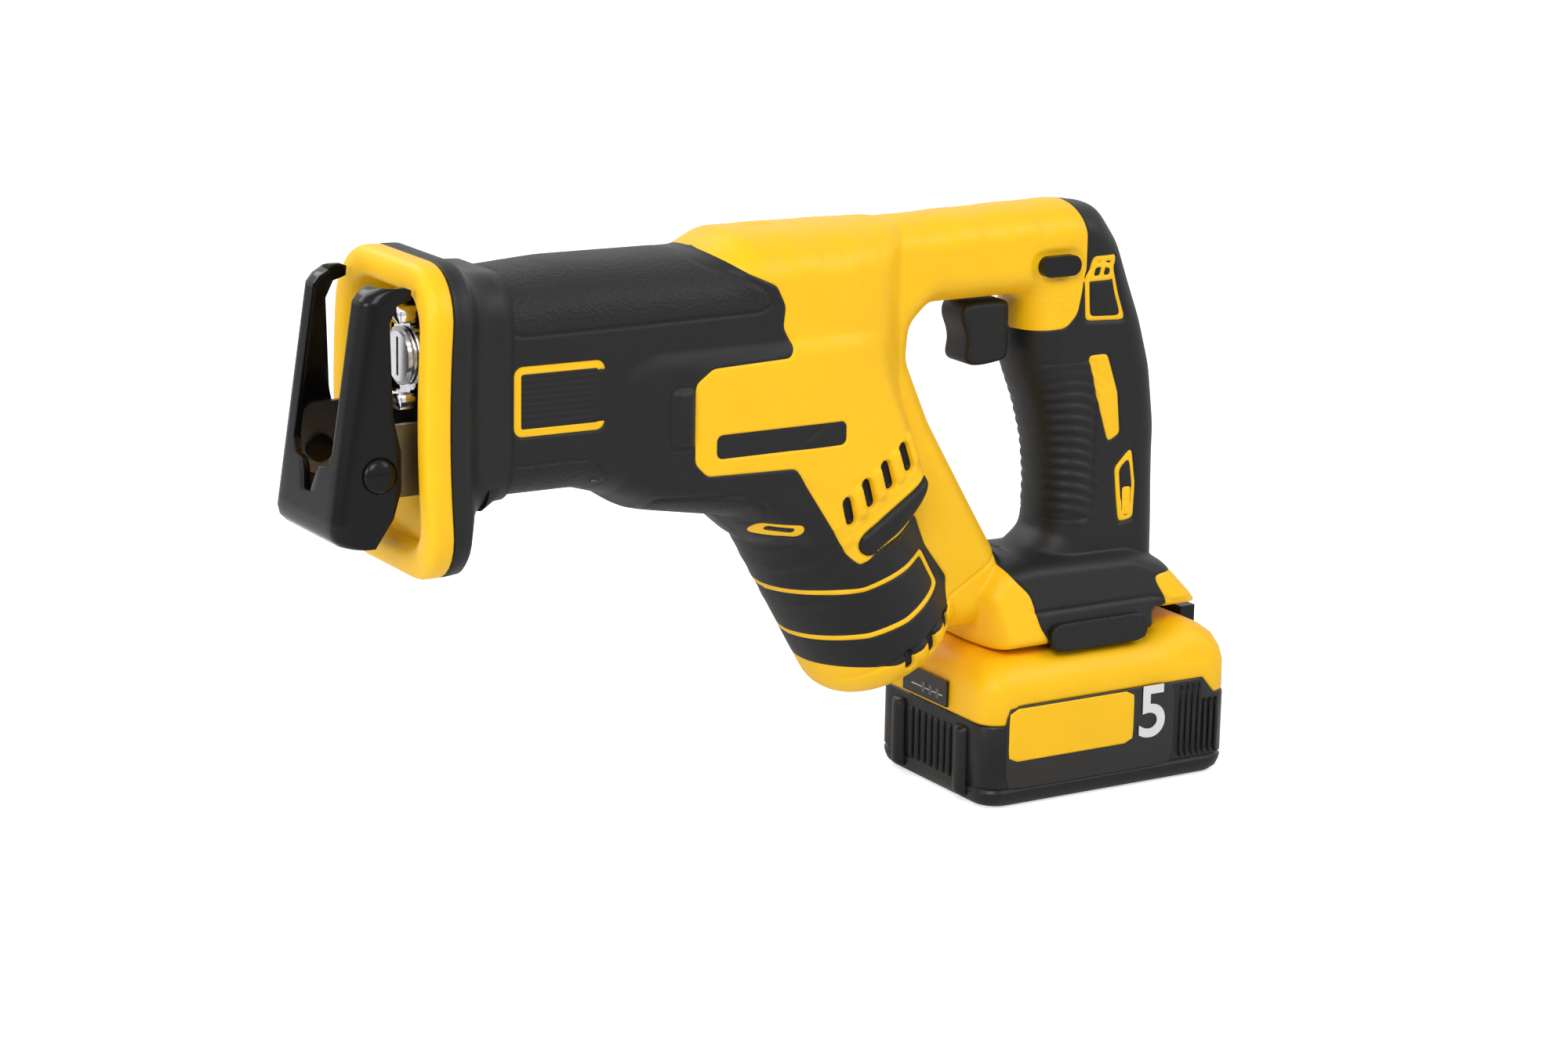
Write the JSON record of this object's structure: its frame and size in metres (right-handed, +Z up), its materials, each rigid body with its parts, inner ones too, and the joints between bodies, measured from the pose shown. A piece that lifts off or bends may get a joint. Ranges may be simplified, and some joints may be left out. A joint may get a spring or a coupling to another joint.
{
  "type": "reciprocating saw",
  "caption": "Battery reciprocating saw with a D-handle, tilted motor, pivoting shoe, tool-free blade clamp and sliding battery pack",
  "frame": {"origin": "centre of the battery pack's flat underside", "axes": "+X to the rear of the tool, along the blade's stroke, -X towards the blade; +Y to the tool's right side; +Z up"},
  "size_m": [0.387, 0.08, 0.232],
  "materials": {
    "yellow_plastic": "satin",
    "black_plastic": "satin",
    "black_rubber": "fine leather grain",
    "shoe_black": "gloss",
    "bracket_steel": "dark satin",
    "bright_steel": "ground",
    "chrome": "polished",
    "cast_alloy": "as cast",
    "bronze": "sintered",
    "copper_steel": "varnished",
    "circuit_green": "lacquered",
    "cell_wrap": "shrink wrap",
    "brass": "plated",
    "panel_black": "gloss"
  },
  "bodies": {
    "tool": {"barrel_sleeve": "black_rubber", "controller_board": "circuit_green", "controller_tray": "cast_alloy", "crank_axle": "bright_steel", "foot_bumpers": "black_rubber", "front_bearing": "bright_steel", "gear_case": "cast_alloy", "gear_case_cover": "cast_alloy", "grip_overmold": "black_rubber", "housing_left": "yellow_plastic", "housing_right": "yellow_plastic", "housing_screws": "bright_steel", "motor_cover": "black_plastic", "motor_end_cap": "yellow_plastic", "motor_end_plate": "black_plastic", "motor_front_plate": "cast_alloy", "nose_boot": "black_rubber", "nose_ring": "yellow_plastic", "ram_bush": "bronze", "rear_bearing": "bright_steel", "shoe_lever_pin": "bright_steel", "stator": "copper_steel", "switch_body": "black_plastic", "terminal_blades": "brass", "terminal_block": "black_plastic"},
    "ram": {"ram_shaft": "bright_steel", "ram_fork": "bright_steel", "clamp_body": "chrome", "clamp_ring": "bright_steel"},
    "clamp_collar": {"clamp_collar": "chrome"},
    "crank": {"crank_gear": "bright_steel", "crank_pin": "bright_steel"},
    "rotor": {"motor_pinion": "bright_steel", "rotor_shaft": "bright_steel", "rotor_core": "bright_steel", "cooling_fan": "black_plastic"},
    "trigger": {"trigger": "black_plastic"},
    "lock_button": {"lock_button": "black_plastic"},
    "shoe_bracket": {"shoe_bracket": "bracket_steel", "shoe_rivets": "shoe_black"},
    "shoe": {"shoe": "shoe_black"},
    "shoe_lever": {"shoe_lever": "black_plastic"},
    "battery": {"battery_case": "black_plastic", "battery_cover": "yellow_plastic", "battery_cells": "cell_wrap", "battery_board": "circuit_green", "battery_contacts": "brass", "battery_gauge": "panel_black", "battery_screws": "bright_steel"},
    "battery_latch": {"battery_latch": "black_plastic"}
  },
  "joints": [
    {"name": "trigger_pull", "type": "slide", "parent": "tool", "child": "trigger", "axis": [1, 0, 0], "range_m": [0, 0.008], "stiffness_N_per_m": 600},
    {"name": "lock_button_push", "type": "slide", "parent": "tool", "child": "lock_button", "axis": [0, 1, 0], "range_m": [-0.003, 0.003]},
    {"name": "battery_slide", "type": "slide", "parent": "tool", "child": "battery", "axis": [1, 0, 0], "range_m": [0, 0.08]},
    {"name": "battery_latch_press", "type": "slide", "parent": "battery", "child": "battery_latch", "axis": [-1, 0, 0], "range_m": [0, 0.0038], "stiffness_N_per_m": 800},
    {"name": "shoe_depth", "type": "slide", "parent": "tool", "child": "shoe_bracket", "axis": [-1, 0, 0], "range_m": [0, 0.03]},
    {"name": "shoe_pivot", "type": "hinge", "parent": "shoe_bracket", "child": "shoe", "pos_m": [-0.3114, 0, 0.1593], "axis": [0, 1, 0], "range_deg": [-14, 6]},
    {"name": "shoe_lever_turn", "type": "hinge", "parent": "tool", "child": "shoe_lever", "pos_m": [-0.222, 0.0318, 0.156], "axis": [0, 1, 0], "range_deg": [0, 85]},
    {"name": "ram_stroke", "type": "slide", "parent": "tool", "child": "ram", "axis": [1, 0, 0], "range_m": [-0.0143, 0.0143]},
    {"name": "clamp_collar_turn", "type": "hinge", "parent": "ram", "child": "clamp_collar", "pos_m": [-0.28, 0, 0.195], "axis": [1, 0, 0], "range_deg": [0, 80], "stiffness_Nm_per_rad": 0.03},
    {"name": "crank_spin", "type": "hinge", "parent": "tool", "child": "crank", "pos_m": [-0.153, 0, 0.1815], "axis": [0, 1, 0], "continuous": true},
    {"name": "rotor_spin", "type": "hinge", "parent": "tool", "child": "rotor", "pos_m": [-0.1155, 0, 0.11655], "axis": [0.5, 0, -0.866], "continuous": true}
  ],
  "couplings": [
    {"joint": "rotor_spin", "follows": "crank_spin", "ratio": -4}
  ]
}
